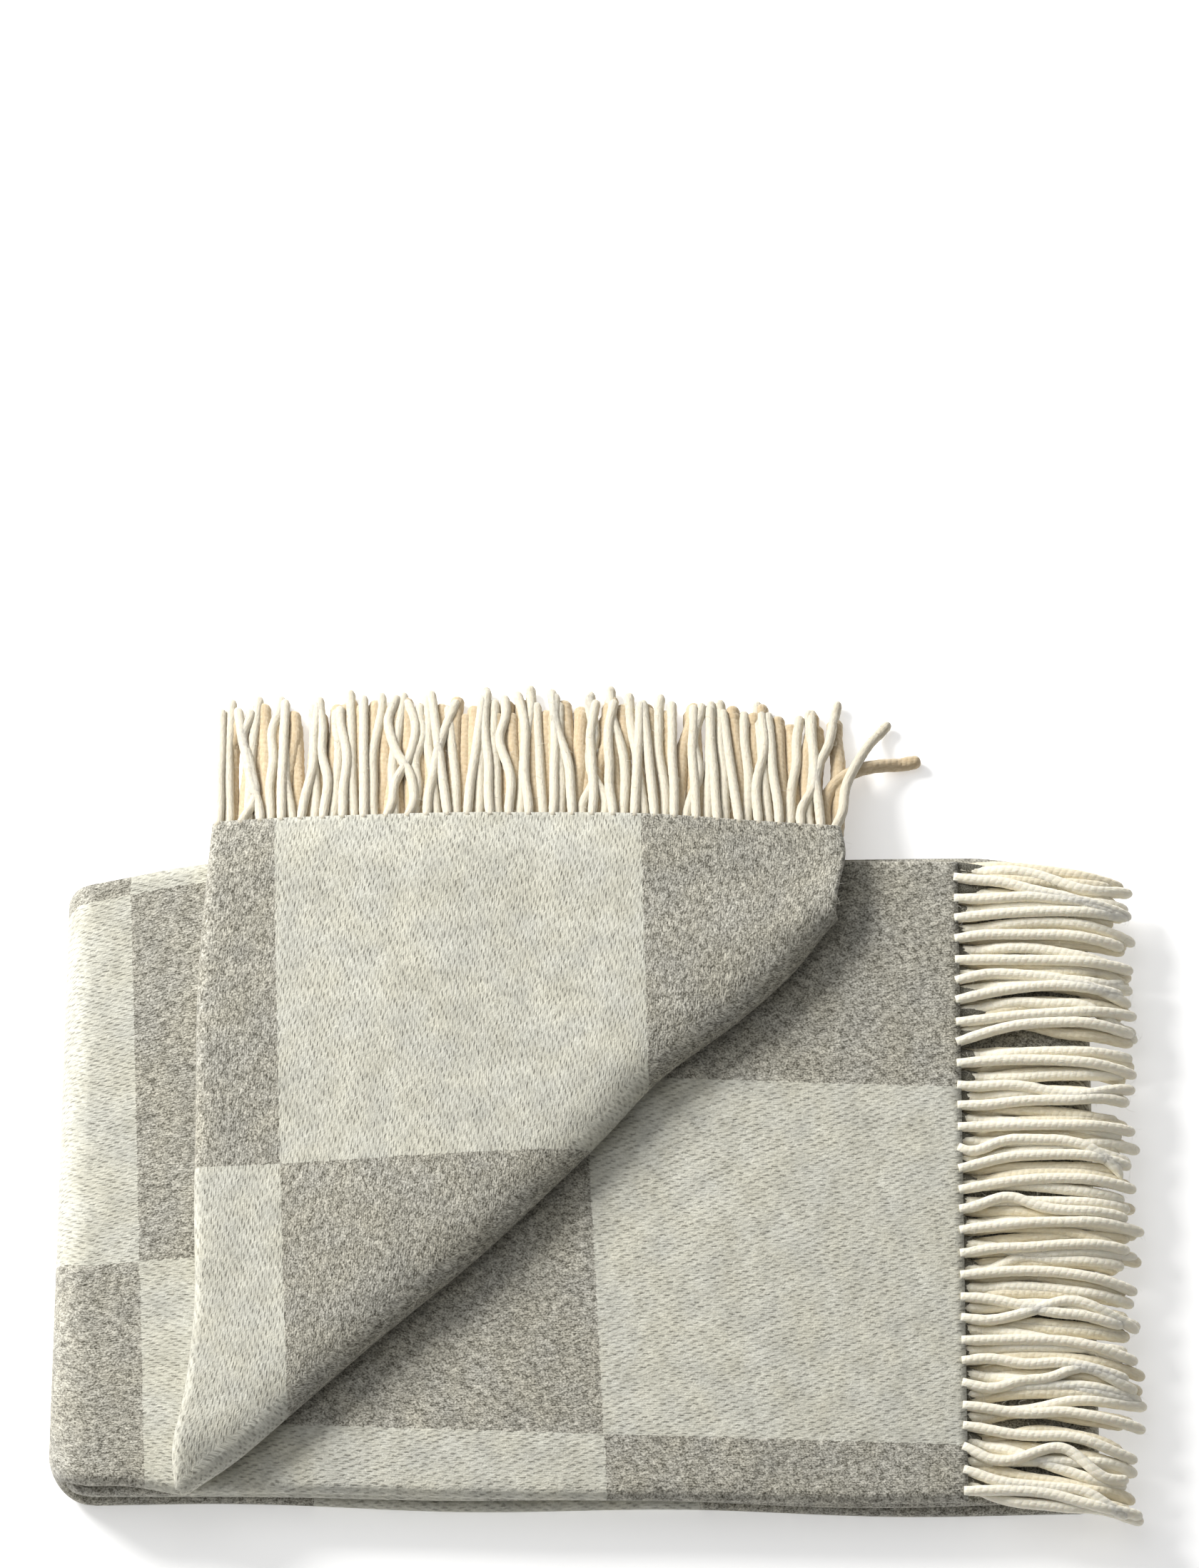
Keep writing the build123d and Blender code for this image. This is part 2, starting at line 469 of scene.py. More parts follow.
def edge_waves(share, y, from_fold):
    """How far in X the turned corner's two side edges wander, fading out across the corner."""
    away = smooth(from_fold, 0, 40)
    bulge = 3.6 * bell(y, 95.0, 70.0) - 3.0 * bell(y, -75.0, 40.0) + 4.0 * bell(y, -148.0, 20.0)
    left = (1 - share) ** 8 * np.clip(away + (y < -120), 0, 1) * bulge
    right = share**3 * away * (4.5 * bell(y, 158.0, 26.0) - 1.5 * bell(y, 178.0, 10.0))
    return right - left


def corner_flat(section, station):
    """The turned corner, from the slanting fold (station 0) to its fringed end (1)."""
    share = np.clip((section["across"] - FRONT) / WIDTH, 0, 1)
    start, end_x, end_y = corner_edges(share)
    x = start[:, 0] + (end_x - start[:, 0]) * station
    y = start[:, 1] + (end_y - start[:, 1]) * station
    from_fold = (end_y - start[:, 1]) * station
    x = x + edge_waves(share, y, from_fold)

    radius = LAYER - section["height"]
    inside = from_fold * TURN_AXIS[0]
    from_centre = np.clip(FOLD_RUN - inside, 0, None) / (FOLD_RUN + roll_reach(share, radius))
    puff = 1 + ROLL_PUFF * bell(inside, PUFF_PLACE, PUFF_PLACE)
    height = radius * np.sqrt(1 - from_centre**2) * puff
    length = (1 - station) * (end_y - start[:, 1])
    return corner_point(x, y, height), length


def corner_run(section, station):
    """Wrap along the slanting fold (stations 0 to 1) and the turned corner beyond it (1 to 2)."""
    if station >= 1:
        return corner_flat(section, station - 1)
    share = np.clip((section["across"] - FRONT) / WIDTH, 0, 1)
    line, _, end_y = corner_edges(share)
    radius = LAYER - section["height"]
    reach = roll_reach(share, radius)
    if station < LOWER_ROLL:
        turn = (station / LOWER_ROLL - 1) * np.pi / 2
        out = reach * np.cos(turn)
        height = radius * np.sin(turn) * tip_depth(share)
    else:
        turn = (station - LOWER_ROLL) / (1 - LOWER_ROLL) * np.arccos(FOLD_RUN / (FOLD_RUN + reach))
        out = (FOLD_RUN + reach) * np.cos(turn) - FOLD_RUN
        height = radius * np.sin(turn) * (1 + ROLL_PUFF * bell(0.0, PUFF_PLACE, PUFF_PLACE) * station)
    x = line[:, 0] + TURN_AXIS[1] * out
    y = line[:, 1] - TURN_AXIS[0] * out
    length = end_y - line[:, 1] + (1 - station) * radius * np.pi
    return corner_point(x, y, height), length


# ---- check layouts


# A row or column line is a border between checks; a slant is how far it strays for each millimetre.
TOP_ROW_LINE = 10.0
TOP_ROW_HEIGHT = 202.0
TOP_COLUMN_LINE = 18.0
TOP_SLANT = 0.038
LOWER_ROW_LINE = -40.0
LOWER_COLUMN_LINE = 380.0
PAINTED_SHADE_ROW_END = -0.02  # odd rows stop just short of a column line, so that they end dark too: painted shade under the fringe


def outer_checks(across, along, points):
    """Checks of the bottom layer, the outer left wrap and the top layer."""
    from_line = across - TOP_ROW_LINE
    column_line = LOWER_LENGTH + WRAP_LENGTH + TOP_COLUMN_LINE + TOP_SLANT * from_line
    return from_line / TOP_ROW_HEIGHT, (along - column_line) / CHECK


def lower_checks(across, along, points):
    """Checks of the second layer, which ends dark in every row under the fringe; where an odd row would turn
    light, the dark is painted shade.
    """
    row = (across - LOWER_ROW_LINE) / CHECK
    column = (along - LOWER_COLUMN_LINE) / CHECK
    odd_row = np.floor(row) % 2 == 1
    return row, np.where(odd_row, np.minimum(column, PAINTED_SHADE_ROW_END), column)


def third_checks(across, along, points):
    """Checks of the third layer, laid out in plan."""
    x, y = points[:, 0], points[:, 1]
    row_line = -135.5 - 0.031 * (x - 14.0)
    column_line = 8.0 + 0.049 * (7.0 - y)
    return (y - row_line) / 184.0 + 1, (x - column_line) / 200.0


def corner_checks(across, along, points):
    """Checks of the turned corner, laid out in plan."""
    x, y = points[:, 0], points[:, 1]
    from_end = CORNER_BACK - y
    column_line = -147.0 + 0.02 * from_end + 0.000042 * from_end**2
    row_line = 4.6 + 0.0585 * x
    return (x - column_line) / 180.5, (y - row_line) / 183.0 - 1


# ---- materials


def node(tree, kind, **values):
    """Adds a shader node, with plain attributes from words and input values from dict 'inputs'."""
    inputs = values.pop("inputs", {})
    made = tree.nodes.new(kind)
    for key, value in values.items():
        setattr(made, key, value)
    for key, value in inputs.items():
        made.inputs[key].default_value = value
    return made


def math_node(tree, operation, first, second=None):
    """A math node whose operands are sockets or numbers."""
    made = tree.nodes.new("ShaderNodeMath")
    made.operation = operation
    for slot_index, value in enumerate((first, second)):
        if value is None:
            continue
        if isinstance(value, (int, float)):
            made.inputs[slot_index].default_value = value
        else:
            tree.links.new(value, made.inputs[slot_index])
    return made.outputs[0]


def mix_color(tree, factor, first, second, blend="MIX"):
    """A colour mix whose colours are sockets or RGBA tuples."""
    made = tree.nodes.new("ShaderNodeMix")
    made.data_type = "RGBA"
    made.blend_type = blend
    for socket, value in ((made.inputs[0], factor), (made.inputs[6], first), (made.inputs[7], second)):
        if isinstance(value, (int, float, tuple)):
            socket.default_value = value
        else:
            tree.links.new(value, socket)
    return made.outputs[2]


def ramp(tree, factor, stops):
    """A colour ramp from (position, grey) stops, as a value."""
    made = tree.nodes.new("ShaderNodeValToRGB")
    elements = made.color_ramp.elements
    while len(elements) < len(stops):
        elements.new(0.5)
    for element, (position, grey) in zip(elements, stops):
        element.position = position
        element.color = (grey, grey, grey, 1)
    tree.links.new(factor, made.inputs[0])
    return made.outputs[0]


def scaled_uv(tree, uv, scale, rotation=0.0):
    """The weave UV, turned and scaled for a texture."""
    mapping = tree.nodes.new("ShaderNodeMapping")
    mapping.inputs["Scale"].default_value = (*scale, 1)
    mapping.inputs["Rotation"].default_value = (0, 0, rotation)
    tree.links.new(uv, mapping.inputs["Vector"])
    return mapping.outputs[0]


def noise(tree, vector, detail=2.0, roughness=0.5):
    """A noise texture's value."""
    made = node(tree, "ShaderNodeTexNoise", inputs={"Scale": 1.0, "Detail": detail, "Roughness": roughness})
    tree.links.new(vector, made.inputs["Vector"])
    return made.outputs["Fac"]


def new_material(name):
    """A node material, with its tree and its Principled shader."""
    material = bpy.data.materials.new(name)
    material.use_nodes = True
    tree = material.node_tree
    return material, tree, tree.nodes["Principled BSDF"]


def uv_map(tree, name):
    """A UV map's vector."""
    return node(tree, "ShaderNodeUVMap", uv_map=name).outputs[0]


def add_bump(tree, shader, height, strength, distance):
    """Bends the shader's normal by a height."""
    bump = node(tree, "ShaderNodeBump", inputs={"Strength": strength, "Distance": distance})
    tree.links.new(height, bump.inputs["Height"])
    tree.links.new(bump.outputs[0], shader.inputs["Normal"])


def set_inputs(shader, **values):
    """Sets the shader's own sockets; a name's underscores stand for spaces."""
    for name, value in values.items():
        shader.inputs[name.replace("_", " ")].default_value = value


def twill_dashes(tree, weave):
    """Short dark dashes where the other yarn shows, one in each float, stepping along in a twill."""
    drift = node(tree, "ShaderNodeTexNoise", inputs={"Scale": 1.0, "Detail": 2.0})
    tree.links.new(scaled_uv(tree, weave, (420, 420)), drift.inputs["Vector"])
    moved = node(tree, "ShaderNodeVectorMath", operation="MULTIPLY_ADD", inputs={1: (0.0016, 0.0024, 0)})
    tree.links.new(drift.outputs["Color"], moved.inputs[0])
    tree.links.new(weave, moved.inputs[2])
    place = node(tree, "ShaderNodeSeparateXYZ")
    tree.links.new(moved.outputs[0], place.inputs[0])
    across = math_node(tree, "MULTIPLY", place.outputs[0], 1 / (THREAD_PITCH * MM))
    thread = math_node(tree, "FLOOR", across)
    along = math_node(tree, "MULTIPLY", place.outputs[1], 1 / (FLOAT_LENGTH * MM))
    along = math_node(tree, "SUBTRACT", along, math_node(tree, "MULTIPLY", thread, TWILL_STEP))
    pick = math_node(tree, "FLOOR", along)
    cell = node(tree, "ShaderNodeCombineXYZ")
    tree.links.new(thread, cell.inputs[0])
    tree.links.new(pick, cell.inputs[1])
    chance = node(tree, "ShaderNodeTexWhiteNoise", noise_dimensions="2D")
    tree.links.new(cell.outputs[0], chance.inputs["Vector"])
    return dash_shape(tree, across, along, chance.outputs["Value"])


def dash_shape(tree, across, along, amount):
    """One dash in a cell of the twill, uneven in place and strength by the cell's random amount."""
    from_middle = math_node(tree, "SUBTRACT", math_node(tree, "FRACT", along), 0.5)
    jitter = math_node(tree, "MULTIPLY", math_node(tree, "SUBTRACT", amount, 0.5), 0.3)
    off_end = math_node(tree, "ABSOLUTE", math_node(tree, "ADD", from_middle, jitter))
    end_shape = ramp(tree, off_end, [(0.08, 1.0), (0.27, 0.0)])
    off_side = math_node(tree, "ABSOLUTE", math_node(tree, "SUBTRACT", math_node(tree, "FRACT", across), 0.5))
    side_shape = ramp(tree, off_side, [(0.12, 1.0), (0.5, 0.15)])
    strength = ramp(tree, amount, [(0.0, 0.35), (0.5, 0.62), (1.0, 1.0)])
    shape = math_node(tree, "MULTIPLY", end_shape, side_shape)
    return math_node(tree, "MULTIPLY", shape, strength)


def check_light(tree, weave):
    """1 in the light checks and 0 in the grey ones, with a little yarn-scale wander at the borders."""
    check = uv_map(tree, "check")
    wobble = math_node(tree, "SUBTRACT", noise(tree, scaled_uv(tree, weave, (400, 400))), 0.5)
    parts = node(tree, "ShaderNodeSeparateXYZ")
    tree.links.new(check, parts.inputs[0])
    offset = math_node(tree, "MULTIPLY", wobble, 0.012)
    row = math_node(tree, "FLOOR", math_node(tree, "ADD", parts.outputs[0], offset))
    column = math_node(tree, "FLOOR", math_node(tree, "ADD", parts.outputs[1], offset))
    halves = math_node(tree, "MULTIPLY", math_node(tree, "ADD", row, column), 0.5)
    return math_node(tree, "MULTIPLY", math_node(tree, "FRACT", halves), 2.0)


def wool_speckle(tree, weave):
    """Felted wool grain of two sizes."""
    fine = noise(tree, scaled_uv(tree, weave, (1150, 950), 0.5), 3.0, 0.7)
    medium = noise(tree, scaled_uv(tree, weave, (330, 260), 0.9), 3.0, 0.7)
    fine_part = math_node(tree, "MULTIPLY", fine, 0.6)
    return math_node(tree, "ADD", fine_part, math_node(tree, "MULTIPLY", medium, 0.4))


def light_yarn(tree, streak, dash, speckle):
    """Colour of a light check."""
    base = mix_color(tree, streak, (0.61, 0.60, 0.52, 1), (0.77, 0.765, 0.68, 1))
    flecked = mix_color(tree, math_node(tree, "MULTIPLY", dash, 0.72), base, (0.19, 0.18, 0.145, 1))
    shade = ramp(tree, speckle, [(0.38, 0.80), (0.55, 1.0)])
    return mix_color(tree, 1.0, flecked, shade, "MULTIPLY")


def grey_yarn(tree, dash, speckle):
    """Colour of a grey check."""
    felt = ramp(tree, speckle, [(0.405, 0.0), (0.595, 1.0)])
    base = mix_color(tree, felt, (0.105, 0.098, 0.074, 1), (0.70, 0.68, 0.60, 1))
    return mix_color(tree, math_node(tree, "MULTIPLY", dash, 0.40), base, (0.09, 0.083, 0.064, 1))


def clouded(tree, weave, color):
    """The colour with slow clouds of shade and tint over it."""
    cloud = noise(tree, scaled_uv(tree, weave, (70, 60)), 4.0, 0.65)
    shade = ramp(tree, cloud, [(0.30, 0.76), (0.66, 1.0)])
    shaded = mix_color(tree, 1.0, color, shade, "MULTIPLY")
    tint = ramp(tree, noise(tree, scaled_uv(tree, weave, (38, 42), 0.7)), [(0.35, 0.0), (0.65, 1.0)])
    tinted = mix_color(tree, tint, (1.0, 0.985, 0.94, 1), (0.985, 0.985, 0.985, 1))
    return mix_color(tree, 1.0, shaded, tinted, "MULTIPLY")


def cloth_material():
    """Brushed wool double cloth: light and grey checks, flecked yarns in a fine twill."""
    material, tree, shader = new_material("wool_cloth_check")
    weave = uv_map(tree, "weave")
    light = check_light(tree, weave)
    grain = noise(tree, scaled_uv(tree, weave, (1250, 170)), 3.0, 0.6)
    streak = ramp(tree, grain, [(0.32, 0.0), (0.68, 1.0)])
    speckle = wool_speckle(tree, weave)
    dash = twill_dashes(tree, weave)
    light_color = light_yarn(tree, streak, dash, speckle)
    checked = mix_color(tree, light, grey_yarn(tree, dash, speckle), light_color)
    tree.links.new(clouded(tree, weave, checked), shader.inputs["Base Color"])

    # Relief: yarns standing proud between the dashes, over a fuzzy ground.
    height = math_node(tree, "MULTIPLY", dash, -0.7)
    height = math_node(tree, "ADD", height, math_node(tree, "MULTIPLY", streak, 0.35))
    height = math_node(tree, "ADD", height, math_node(tree, "MULTIPLY", speckle, 1.2))
    add_bump(tree, shader, height, 0.6, 0.0009)
    rough = ramp(tree, speckle, [(0.0, 0.84), (1.0, 0.98)])
    tree.links.new(rough, shader.inputs["Roughness"])
    set_inputs(shader, Sheen_Weight=0.3, Sheen_Roughness=0.55, Sheen_Tint=(1.0, 0.98, 0.93, 1))
    set_inputs(shader, Specular_IOR_Level=0.12)
    return material


def twist_bands(tree, patch):
    """Raised bands that wind round a strand, slightly uneven."""
    twist = node(tree, "ShaderNodeSeparateXYZ")
    tree.links.new(uv_map(tree, "twist"), twist.inputs[0])
    around = math_node(tree, "MULTIPLY", twist.outputs[0], 2.0)
    phase = math_node(tree, "SUBTRACT", around, twist.outputs[1])
    phase = math_node(tree, "ADD", phase, math_node(tree, "MULTIPLY", patch, 0.5))
    wave = math_node(tree, "SINE", math_node(tree, "MULTIPLY", phase, math.pi))
    return math_node(tree, "ABSOLUTE", wave)


def fringe_material(name, dark, light):
    """Twisted wool between two tones, a little translucent."""
    material, tree, shader = new_material(name)
    weave = uv_map(tree, "weave")
    fibre = noise(tree, scaled_uv(tree, weave, (900, 260), 0.5), 3.0, 0.6)
    patch = noise(tree, scaled_uv(tree, weave, (60, 25)), 2.0, 0.5)
    base = mix_color(tree, ramp(tree, fibre, [(0.3, 0.0), (0.7, 1.0)]), dark, light)
    patched = mix_color(tree, ramp(tree, patch, [(0.35, 0.0), (0.75, 0.45)]), base, dark)
    tree.links.new(patched, shader.inputs["Base Color"])
    bands = math_node(tree, "MULTIPLY", twist_bands(tree, patch), 0.28)
    add_bump(tree, shader, math_node(tree, "ADD", bands, fibre), 0.6, 0.0008)
    rough = ramp(tree, fibre, [(0.0, 0.82), (1.0, 0.97)])
    tree.links.new(rough, shader.inputs["Roughness"])
    set_inputs(shader, Sheen_Weight=0.5, Sheen_Roughness=0.6, Sheen_Tint=(1.0, 0.95, 0.84, 1))
    set_inputs(shader, Specular_IOR_Level=0.12, Subsurface_Weight=0.3)
    set_inputs(shader, Subsurface_Radius=(1.0, 0.85, 0.6), Subsurface_Scale=0.003)
    return material


def tuft_and_painted_shade_material():
    """Dark wool of the cloth's reverse, felted into short tufts; in the grey-check rows, whose reverse is
    light, the same dark is painted shade.
    """
    material, tree, shader = new_material("wool_tuft_dark_and_painted_shade")
    fibre = noise(tree, scaled_uv(tree, uv_map(tree, "weave"), (1600, 500), 0.3), 3.0, 0.7)
    tone = ramp(tree, fibre, [(0.35, 0.0), (0.65, 1.0)])
    base = mix_color(tree, tone, (0.05, 0.047, 0.035, 1), (0.32, 0.31, 0.26, 1))
    tree.links.new(base, shader.inputs["Base Color"])
    add_bump(tree, shader, fibre, 0.8, 0.001)
    set_inputs(shader, Roughness=0.95, Specular_IOR_Level=0.1)
    return material


CLOTH = cloth_material()
# The fringe is one cream yarn. The first, darker and warmer material of each end goes to the two lower rows,
# which lie behind and below the top rows: painted shade. Both corner materials are darker copies of the end's:
# painted shade.
FRINGES = {
    "end": (
        fringe_material("wool_fringe_end_back_rows_painted_shade", (0.70, 0.62, 0.45, 1), (0.88, 0.82, 0.65, 1)),
        fringe_material("wool_fringe_end_cream", (0.83, 0.78, 0.64, 1), (0.92, 0.88, 0.76, 1)),
    ),
    "corner": (
        fringe_material("wool_fringe_corner_back_rows_painted_shade", (0.46, 0.35, 0.21, 1), (0.60, 0.49, 0.33, 1)),
        fringe_material("wool_fringe_corner_cream_painted_shade", (0.55, 0.50, 0.40, 1), (0.65, 0.61, 0.50, 1)),
    ),
}
TUFT_AND_PAINTED_SHADE = tuft_and_painted_shade_material()


# ---- cloth pieces


def run_stations(*counts):
    """Stations of a run, with this many steps in each of its parts."""
    parts = [np.linspace(part, part + 1, count + 1) for part, count in enumerate(counts)]
    return np.concatenate([parts[0], *(part[1:] for part in parts[1:])])


def build_cloth():
    """The cloth, split where it folds open, in five runs."""
    return {
        "outer": swept_cloth("cloth_outer_run", run_stations(90, 16, 80), left_run, outer_checks, CLOTH),
        "lower": swept_cloth("cloth_lower_run", run_stations(90, 10), lower_run, lower_checks, CLOTH),
        "wrap": swept_cloth("cloth_left_inner_wrap", run_stations(12), inner_wrap, third_checks, CLOTH),
        "third": swept_cloth("cloth_third_layer", run_stations(90), third_layer, third_checks, CLOTH),
        "corner": swept_cloth("cloth_turned_corner", run_stations(18, 84), corner_run, corner_checks, CLOTH),
    }


cloth = build_cloth()


# ---- fringe


def strand_rings(path, radius):
    """Rings of points round a path, rounded off at the felted tip."""
    tangent = np.gradient(path, axis=0)
    tangent /= np.linalg.norm(tangent, axis=1)[:, None]
    side = np.cross(tangent, np.array([0.0, 0.0, 1.0]))
    side /= np.linalg.norm(side, axis=1)[:, None]
    up = np.cross(side, tangent)
    around = np.linspace(0, 2 * np.pi, YARN_SIDES + 1)[:-1]
    share = STRAND_SHARES
    tip = np.clip((share - TIP_START) / TIP_LENGTH, 0, 1)
    swell = 1 - 0.12 * bell(share, 0.0, 0.05) + 0.06 * bell(share, 0.93, 0.05)
    size = radius * np.sqrt(1 - 0.9 * tip**2) * swell
    lobe = 1 + 0.03 * np.cos(2 * around[None, :] - 4 * np.pi * YARN_TURNS * share[:, None])
    reach = (size[:, None] * lobe)[..., None]
    ring = np.cos(around)[None, :, None] * side[:, None, :] + np.sin(around)[None, :, None] * up[:, None, :]
    return path[:, None, :] + reach * ring


def strand_faces(count, size):
    """Walls and end caps of one strand, and each face corner's (turn, length) shares."""
    index = np.arange(count * size).reshape(count, size)
    after = np.roll(index, -1, axis=1)
    walls = np.stack([index[:-1], index[1:], after[1:], after[:-1]], axis=-1).reshape(-1, 4)
    turn, length = np.meshgrid(np.arange(size) / size, STRAND_SHARES[:-1])
    next_turn = turn + 1 / size
    next_length = np.repeat(STRAND_SHARES[1:, None], size, axis=1)
    wall_shares = np.stack(
        [turn, length, turn, next_length, next_turn, next_length, next_turn, length], axis=-1
    ).reshape(-1, 2)
    faces, shares = [walls], [wall_shares]
    for ring, order, end in ((index[0], 1, 0.0), (index[-1], -1, 1.0)):
        caps = [[ring[k], ring[k + 1], ring[size - 2 - k], ring[size - 1 - k]] for k in range(size // 2 - 1)]
        faces.append(np.array(caps)[:, ::order])
        shares.append(np.tile([0.5, end], (4 * len(caps), 1)))
    return np.vstack(faces), np.vstack(shares)


def strand_mesh(name, strands, material):
    """One mesh of several strands, each closed at both ends by a small quad fan."""
    count, size, _ = strands[0].shape
    faces, shares = strand_faces(count, size)
    points = np.vstack([rings.reshape(-1, 3) for rings in strands])
    all_faces = np.vstack([faces + number * count * size for number in range(len(strands))])
    spots = np.repeat(np.arange(len(strands)), len(shares))[:, None] * np.array([5.0, 7.0])
    shares = np.tile(shares, (len(strands), 1))
    weave = (shares * np.array([2 * np.pi * YARN_RADIUS, STRAND_LENGTH]) + spots) * MM
    twist = shares * np.array([1.0, 2 * YARN_TURNS])
    return new_mesh(name, points, all_faces, material, {"weave": weave, "twist": twist})


def wander(values, amount):
    """A smooth random walk of the given size along a strand, starting at 0."""
    steps = values.normal(0, 1, len(STRAND_SHARES))
    kernel = np.hanning(19)
    walk = np.cumsum(np.convolve(steps, kernel / kernel.sum(), mode="same"))
    walk -= walk[0]
    return amount * walk / max(np.abs(walk).max(), 1e-6)


def end_strand(root, row, values):
    """Path of one strand past the end of the third layer, lying on the layers below."""
    share = STRAND_SHARES
    length = STRAND_LENGTH * values.uniform(0.97, 1.11)
    across = (root[1] - FRONT) / WIDTH
    turned = values.normal(-1.5, 2.0 + 0.8 * row) - 6.0 * bell(across, 0.0, 0.14)
    lean = math.radians(turned - 4.0 * bell(across, 1.0, 0.1))
    arch = values.uniform(-1.0, 5.0) * np.sin(np.pi * share)
    x = root[0] + share * length * math.cos(lean)
    y = root[1] + share * length * math.sin(lean) + arch + wander(values, values.normal(0, 1.5 + 1.1 * row))
    rest = 2 * LAYER + YARN_RADIUS + 0.4 + END_ROW_LIFT[row]
    z = root[2] + (rest - root[2]) * smooth(share, 0.0, 0.3)
    if row < PLIES - 1:
        z = z - 2.4 * bell(share, 0.14, 0.1)
    past = np.clip(x - RIGHT_X - 1.0, 0, None)
    z = z - 0.0125 * past**2 + values.uniform(0, 1.2) * np.sin(np.pi * share)
    z = np.maximum(z, YARN_RADIUS * 1.1)
    return np.column_stack([x, y, z])


def corner_strand(root, row, values, bend=0.0):
    """Path of one strand past the corner's end, drooping over the back edge.

    bend turns a stray strand aside by that many degrees towards its tip.
    """
    share = STRAND_SHARES
    length = STRAND_LENGTH * values.uniform(0.99, 1.17) * CORNER_ROW_LENGTH[row]
    heading = np.radians(values.normal(0, 1.5 + 0.9 * row) + bend * smooth(share, 0.05, 0.9))
    droop = np.radians((24.0 + 0.6 * (row - 1.5)) * (0.97 + 0.06 * share))
    step = length * np.diff(share)
    forward = step * np.cos(droop[1:])
    x = root[0] + np.concatenate([[0], np.cumsum(forward * np.sin(heading[1:]))])
    x = x + wander(values, values.normal(0, 1.2 + 0.9 * row))
    y = root[1] + np.concatenate([[0], np.cumsum(forward * np.cos(heading[1:]))])
    z = root[2] - np.concatenate([[0], np.cumsum(step * np.sin(droop[1:]))])
    z = np.maximum(z, YARN_RADIUS * 1.2)
    return np.column_stack([x, y, z])


def row_height(row):
    """Height of a ply's middle in a layer whose third ply is on top."""
    return (row + 0.5) * PLY


def end_roots(row, values):
    """Where one row's strands leave the end of the third layer."""
    shares = (np.arange(STRANDS) + 0.45 + ROW_STAGGER[row]) / (STRANDS + 0.2)
    y = across_at(FRONT + shares * WIDTH, END_X) + values.normal(0, 0.5, STRANDS)
    z = relief(END_X, y, 2 * LAYER + row_height(row))
    return np.column_stack([np.full(STRANDS, END_X - 2.0 - 1.0 * (3 - row)), y, z])


def corner_roots(row, values):
    """Where one row's strands leave the end of the turned corner."""
    shares = (np.arange(STRANDS) + 0.3 + ROW_STAGGER[row]) / (STRANDS + 0.2)
    place = {"across": FRONT + shares * WIDTH, "height": np.full(STRANDS, LAYER - row_height(row))}
    roots = corner_flat(place, 1.0)[0]
    roots[:, 0] += values.normal(0, 0.5, STRANDS)
    roots[:, 1] -= 2.0
    return roots


def end_row(row, values):
    """One row of strands at the end of the third layer."""
    radius = YARN_RADIUS * END_ROW_GIRTH[row]
    return [strand_rings(end_strand(root, row, values), radius) for root in end_roots(row, values)]


def corner_row(row, values):
    """One row of strands at the end of the turned corner."""
    radius = YARN_RADIUS * CORNER_ROW_GIRTH[row]
    strands = []
    for number, root in enumerate(corner_roots(row, values)):
        bend = STRAY_BENDS.get((row, number), 0.0)
        strands.append(strand_rings(corner_strand(root, row, values, bend), radius))
    return strands


def build_fringe():
    """Four rows of strands at each end of the cloth."""
    values = np.random.default_rng(FRINGE_SEED)
    made = {"end": [], "corner": []}
    for row in range(PLIES):
        for side, build_row in (("end", end_row), ("corner", corner_row)):
            strands = build_row(row, values)
            # The two lower rows take the darker first material of their end: painted shade.
            made[side].append(strand_mesh(f"{side}_fringe_{row + 1}", strands, FRINGES[side][row // 2]))
    return made


def tuft_length(y, values):
    """Tufts reach further along the back half of the end."""
    return values.uniform(7.5, 10.5) + values.uniform(2.0, 14.0) * smooth(y, 20.0, 60.0)


def build_tufts_and_painted_shade():
    """Short dark tufts showing between the strands at the end: the cloth's dark reverse in the light-check
    rows, and painted shade in the grey-check rows.
    """
    values = np.random.default_rng(TUFT_SEED)
    share = STRAND_SHARES[:, None]
    tufts = []
    for root in end_roots(3, values) + np.array([0.0, 0.5 * WIDTH / STRANDS, -1.9]):
        reach = np.array([tuft_length(root[1], values), values.normal(0, 0.8), -3.0])
        rings = strand_rings(root + share * reach, 1.0)
        girth = 3.3 * (1 - share[..., None] ** 1.8) ** 0.7 + 0.12
        middle = rings.mean(axis=1, keepdims=True)
        uneven = values.uniform(0.8, 1.15, rings.shape[1])[None, :, None]
        tufts.append(middle + (rings - middle) * girth * uneven * np.array([1.0, 1.0, 0.62]))
    return strand_mesh("cloth_end_tufts_and_painted_shade", tufts, TUFT_AND_PAINTED_SHADE)


fringe = build_fringe()
# The tufts are partly the cloth's dark reverse and partly painted shade.
tufts = build_tufts_and_painted_shade()


# ---- loose fibres


def surface_points(piece, count, values):
    """Random points of a piece's surface that lie clear of the floor, with their normals."""
    mesh = piece.data
    points = np.empty(3 * len(mesh.vertices), dtype=np.float32)
    normals = np.empty_like(points)
    mesh.vertices.foreach_get("co", points)
    mesh.vertex_normals.foreach_get("vector", normals)
    points = points.reshape(-1, 3) / MM
    picked = values.choice(np.flatnonzero(points[:, 2] > FIBRE_LOWEST_ROOT), count, replace=False)
    return points[picked], normals.reshape(-1, 3)[picked]


def fibre_paths(piece, count, seed):
    """Paths of short stray hairs that leave a piece's surface."""
    values = np.random.default_rng(seed)
    start, out = surface_points(piece, count, values)
    along = np.cross(out, values.normal(0, 1, (count, 3)))
    along /= np.linalg.norm(along, axis=1)[:, None]
    curl = np.cross(out, along)
    length = values.uniform(2.5, 6.5, (count, 1))
    lift = values.uniform(0.15, 0.75, (count, 1))
    bend = values.normal(0, 1.1, (count, 1))
    paths = []
    for t in np.linspace(0, 1, FIBRE_STEPS):
        sideways = along * np.cos(bend * t) + curl * np.sin(bend * t)
        spot = start + length * t * (sideways + out * lift * (1 - 0.5 * t)) - FIBRE_DEPTH * out
        spot[:, 2] = np.maximum(spot[:, 2], FIBRE_FLOOR)
        paths.append(spot)
    return np.stack(paths, axis=1)


